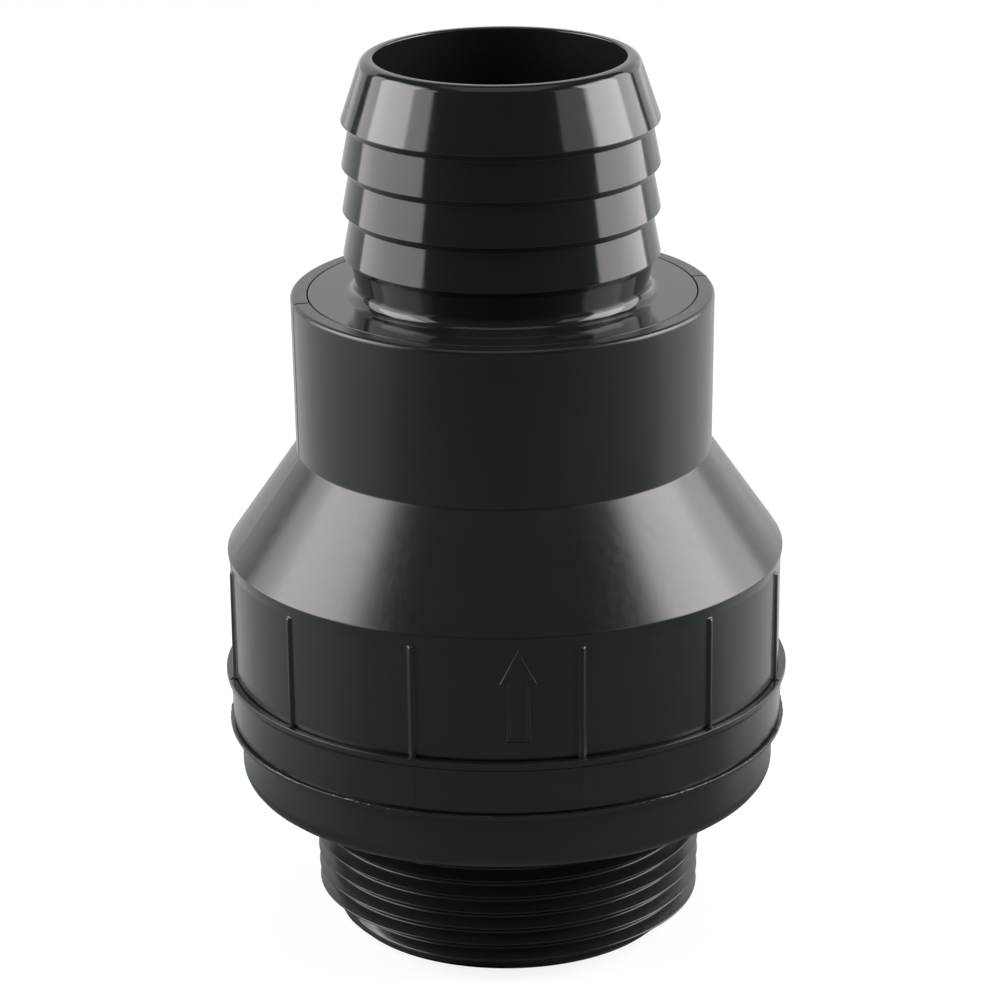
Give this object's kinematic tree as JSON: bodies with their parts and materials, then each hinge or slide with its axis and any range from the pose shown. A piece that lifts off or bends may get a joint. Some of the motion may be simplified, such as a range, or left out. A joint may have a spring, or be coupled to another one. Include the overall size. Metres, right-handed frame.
{
  "type": "sump pump check valve",
  "caption": "Black plastic swing check valve for a pump discharge, with a tapered pipe thread inlet, a barbed hose outlet and a hinged flapper inside.",
  "frame": {"origin": "centre of the threaded inlet's end face, the lowest face, on the flow axis", "axes": "+Z along the flow, from the threaded inlet to the hose outlet; -Y is the side of the flow arrow; the flapper's hinge is at +Y and runs along X"},
  "size_m": [0.0714, 0.0714, 0.1128],
  "materials": {
    "housing": "glossy moulded black ABS",
    "tail": "high-gloss moulded black ABS",
    "seal": "matt moulded black rubber",
    "arm": "satin natural acetal",
    "steel": "turned stainless steel",
    "brass": "turned brass, slightly dull"
  },
  "bodies": {
    "root": {"outlet_housing": "housing", "hose_tail": "tail", "inlet_housing": "housing", "hinge_pin": "steel", "pin_clip_left": "steel", "pin_clip_right": "steel"},
    "flapper": {"flapper_arm": "arm", "seal_disc": "seal", "ballast_disc": "brass", "clamp_washer": "steel", "clamp_screw": "steel", "spring_washer": "steel", "lock_nut": "steel"}
  },
  "joints": [
    {"name": "flapper_hinge", "type": "hinge", "parent": "root", "child": "flapper", "pos_m": [0, 0.023, 0.032], "axis": [-1, 0, 0], "range_deg": [0, 65]}
  ]
}
